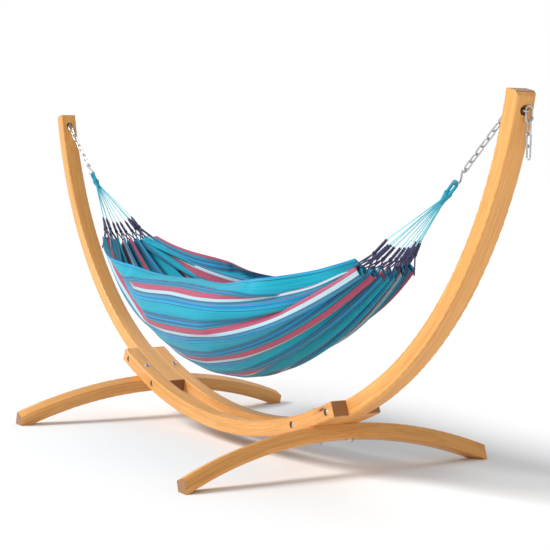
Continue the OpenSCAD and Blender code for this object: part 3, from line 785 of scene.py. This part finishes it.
def timber_material(name, board, light, dark):
    """An empty larch material; the caller feeds the group's Grain Place and End Face."""
    made = bpy.data.materials.new(name)
    made.use_nodes = True
    nodes, links = made.node_tree.nodes, made.node_tree.links
    shader = nodes["Principled BSDF"]
    shader.inputs["Coat Weight"].default_value = 0.12
    shader.inputs["Coat Roughness"].default_value = 0.35
    wood_node = nodes.new("ShaderNodeGroup")
    wood_node.node_tree = larch
    wood_node.inputs["Board"].default_value = board
    wood_node.inputs["Light Wood"].default_value = light
    wood_node.inputs["Dark Wood"].default_value = dark
    links.new(wood_node.outputs["Color"], shader.inputs["Base Color"])
    links.new(wood_node.outputs["Roughness"], shader.inputs["Roughness"])
    bump = nodes.new("ShaderNodeBump")
    bump.inputs["Strength"].default_value = 0.35
    bump.inputs["Distance"].default_value = 0.0006
    links.new(wood_node.outputs["Height"], bump.inputs["Height"])
    links.new(bump.outputs["Normal"], shader.inputs["Normal"])
    return made, wood_node


def paint(node_name, made):
    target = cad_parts[node_name]
    target.data.materials.clear()
    target.data.materials.append(made)
    for face in target.data.polygons:
        face.material_index = 0
        face.use_smooth = True
    weld = target.modifiers.new("weld", "WELD")
    weld.merge_threshold = 0.00002
    split_edges = target.modifiers.new("crisp", "EDGE_SPLIT")
    split_edges.split_angle = math.radians(32.0)


runner_centre_z, runner_bend = 2.1965, 2.120
arm_centre, arm_bend = (0.2690, 1.5611), 1.430
splice = math.radians(22.9453)
light_larch, dark_larch = (0.83, 0.41, 0.115, 1), (0.66, 0.28, 0.060, 1)
for number, name in enumerate(("runner_front", "runner_back", "arm_left", "arm_right")):
    made, wood_node = timber_material("larch_" + name, float(number), light_larch, dark_larch)
    nodes, links = made.node_tree.nodes, made.node_tree.links
    where = nodes.new("ShaderNodeTexCoord")
    split = nodes.new("ShaderNodeSeparateXYZ")
    links.new(where.outputs["Object"], split.inputs[0])
    out = calc("ABSOLUTE", split.outputs["X"])
    if name.startswith("arm"):
        # An arm takes the runners' bend up to their ends, then its own
        upper = calc("GREATER_THAN", out, runner_bend * math.sin(splice))
        centre_x = calc("MULTIPLY", upper, arm_centre[0])
        centre_z = calc("MULTIPLY_ADD", upper, arm_centre[1] - runner_centre_z, runner_centre_z)
        radius = calc("MULTIPLY_ADD", upper, arm_bend - runner_bend, runner_bend)
    else:
        centre_x, centre_z, radius = 0.0, runner_centre_z, runner_bend
    from_x = calc("SUBTRACT", out, centre_x)
    from_z = calc("SUBTRACT", centre_z, split.outputs["Z"])
    angle = calc("ARCTAN2", from_x, from_z)
    far = calc("SQRT", calc("ADD", calc("MULTIPLY", from_x, from_x), calc("MULTIPLY", from_z, from_z)))
    along_grain = calc("MULTIPLY", calc("SUBTRACT", angle, splice), radius)
    if not name.startswith("arm"):
        along_grain = calc("MULTIPLY", along_grain, calc("SIGN", split.outputs["X"]))
    grain_place = packed(along_grain, calc("SUBTRACT", far, radius), split.outputs["Y"])
    links.new(grain_place, wood_node.inputs["Grain Place"])
    facing = nodes.new("ShaderNodeNewGeometry")
    normal = nodes.new("ShaderNodeSeparateXYZ")
    links.new(facing.outputs["True Normal"], normal.inputs[0])
    sideways = calc("MULTIPLY", normal.outputs["X"], calc("SIGN", split.outputs["X"]))
    tangent = calc("ADD", calc("MULTIPLY", sideways, calc("COSINE", angle)),
                   calc("MULTIPLY", normal.outputs["Z"], calc("SINE", angle)))
    links.new(calc("GREATER_THAN", calc("ABSOLUTE", tangent), 0.75), wood_node.inputs["End Face"])
    paint(name, made)

foot_turn, foot_top, foot_bend = math.radians(18.513), (0.68124, 0.16203), 1.4703
for number, (name, side) in enumerate((("foot_left", -1.0), ("foot_right", 1.0))):
    made, wood_node = timber_material("larch_" + name, 11.0 + number, light_larch, dark_larch)
    nodes, links = made.node_tree.nodes, made.node_tree.links
    where = nodes.new("ShaderNodeTexCoord")
    split = nodes.new("ShaderNodeSeparateXYZ")
    links.new(where.outputs["Object"], split.inputs[0])
    from_x = calc("SUBTRACT", calc("MULTIPLY", split.outputs["X"], side), foot_top[0])
    from_z = calc("SUBTRACT", split.outputs["Z"], foot_top[1])
    up = calc("ADD", calc("MULTIPLY", from_x, -math.sin(foot_turn)), calc("MULTIPLY", from_z, math.cos(foot_turn)))
    wide = calc("ADD", calc("MULTIPLY", from_x, math.cos(foot_turn)), calc("MULTIPLY", from_z, math.sin(foot_turn)))
    height = calc("ADD", up, foot_bend + 0.0265)
    far = calc("SQRT", calc("ADD", calc("MULTIPLY", split.outputs["Y"], split.outputs["Y"]), calc("MULTIPLY", height, height)))
    along_grain = calc("MULTIPLY", calc("ARCTAN2", split.outputs["Y"], height), foot_bend)
    links.new(packed(along_grain, calc("SUBTRACT", far, foot_bend), wide), wood_node.inputs["Grain Place"])
    facing = nodes.new("ShaderNodeNewGeometry")
    normal = nodes.new("ShaderNodeSeparateXYZ")
    links.new(facing.outputs["True Normal"], normal.inputs[0])
    links.new(calc("GREATER_THAN", calc("ABSOLUTE", normal.outputs["Y"]), 0.8), wood_node.inputs["End Face"])
    paint(name, made)


# Fixings and chain: zinc-plated steel. Bolts, nuts and washers are bright; the welded chain, bent
# hooks and snap hooks are a little greyer, with fine wear where they rub.
zinc = bpy.data.node_groups.new("zinc_plate", "ShaderNodeTree")
socket(zinc, "Tone", "NodeSocketColor", "INPUT", (0.62, 0.63, 0.64, 1))
socket(zinc, "Rough", "NodeSocketFloat", "INPUT", 0.32)
socket(zinc, "Color", "NodeSocketColor", "OUTPUT")
socket(zinc, "Roughness", "NodeSocketFloat", "OUTPUT")
socket(zinc, "Height", "NodeSocketFloat", "OUTPUT")
nodes, links = zinc.nodes, zinc.links
given = nodes.new("NodeGroupInput")
result = nodes.new("NodeGroupOutput")
where = nodes.new("ShaderNodeTexCoord")
spangle = noise(where.outputs["Object"], 160.0, 3.0)
dulled = noise(where.outputs["Object"], 38.0, 2.0)
scratches = noise(stretched(where.outputs["Object"], (300.0, 1600.0, 700.0)), 1.0, 2.0)
metal = blend_colour("MULTIPLY", 1.0, given.outputs["Tone"], ranged(spangle, 0.3, 0.7, 0.84, 1.12))
metal = blend_colour("MIX", ranged(dulled, 0.5, 0.75, 0.0, 0.45), metal, (0.33, 0.32, 0.30, 1))
links.new(metal, result.inputs["Color"])
links.new(calc("ADD", given.outputs["Rough"], ranged(dulled, 0.35, 0.7, -0.05, 0.16)), result.inputs["Roughness"])
links.new(calc("ADD", calc("MULTIPLY", spangle, 0.6), calc("MULTIPLY", scratches, 0.4)), result.inputs["Height"])
plated = (
    ("bright_zinc", (0.72, 0.72, 0.70, 1), 0.26, ("joint_bolts", "joint_nuts", "foot_bolts", "foot_nuts", "gate_rivet")),
    ("washer_zinc", (0.60, 0.60, 0.58, 1), 0.34, ("joint_washers", "foot_washers")),
    ("chain_zinc", (0.56, 0.58, 0.61, 1), 0.30, ("hole_links", "chain", "chain_tail", "hook")),
    ("snap_zinc", (0.60, 0.61, 0.63, 1), 0.28, ("snap_hook", "gate")),
)
for name, tone_colour, rough, pieces in plated:
    made = bpy.data.materials.new(name)
    made.use_nodes = True
    nodes, links = made.node_tree.nodes, made.node_tree.links
    shader = nodes["Principled BSDF"]
    shader.inputs["Metallic"].default_value = 1.0
    plate = nodes.new("ShaderNodeGroup")
    plate.node_tree = zinc
    plate.inputs["Tone"].default_value = tone_colour
    plate.inputs["Rough"].default_value = rough
    links.new(plate.outputs["Color"], shader.inputs["Base Color"])
    links.new(plate.outputs["Roughness"], shader.inputs["Roughness"])
    bump = nodes.new("ShaderNodeBump")
    bump.inputs["Strength"].default_value = 0.25
    bump.inputs["Distance"].default_value = 0.0002
    links.new(plate.outputs["Height"], bump.inputs["Height"])
    links.new(bump.outputs["Normal"], shader.inputs["Normal"])
    for piece in pieces:
        for side_name in ("left", "right"):
            paint(f"{piece}_{side_name}", made)


# Floor and light: a plain white floor, one broad key light from the front left and an even
# white room that fills the shadows.
bpy.ops.object.select_all(action="DESELECT")
bpy.ops.mesh.primitive_plane_add(size=120.0, location=(0.0, 0.0, -0.0005))
floor = bpy.context.object
floor.name = "floor"
floor_paint = bpy.data.materials.new("white_floor")
floor_paint.use_nodes = True
shader = floor_paint.node_tree.nodes["Principled BSDF"]
shader.inputs["Base Color"].default_value = (0.86, 0.86, 0.86, 1)
shader.inputs["Roughness"].default_value = 0.9
shader.inputs["Specular IOR Level"].default_value = 0.1
floor.data.materials.append(floor_paint)
world = bpy.data.worlds.new("soft_white")
world.use_nodes = True
bpy.context.scene.world = world
nodes, links = world.node_tree.nodes, world.node_tree.links
room = nodes["Background"]
room.inputs["Color"].default_value = (1.0, 1.0, 1.0, 1)
sight = nodes.new("ShaderNodeLightPath")
links.new(calc("MULTIPLY_ADD", sight.outputs["Is Camera Ray"], 0.52, 0.48), room.inputs["Strength"])


def soft_sun(name, heading, height, spread, power):
    sun_data = bpy.data.lights.new(name, "SUN")
    sun_data.energy = power
    sun_data.angle = math.radians(spread)
    sun = bpy.data.objects.new(name, sun_data)
    bpy.context.collection.objects.link(sun)
    from_way = Vector((
        math.cos(math.radians(heading)) * math.cos(math.radians(height)),
        math.sin(math.radians(heading)) * math.cos(math.radians(height)),
        math.sin(math.radians(height)),
    ))
    sun.rotation_euler = from_way.to_track_quat("Z", "Y").to_euler()


soft_sun("key_light", -118.0, 40.0, 26.0, 2.9)
soft_sun("fill_light", -60.0, 12.0, 60.0, 0.5)
soft_sun("back_light", 120.0, 50.0, 50.0, 0.5)
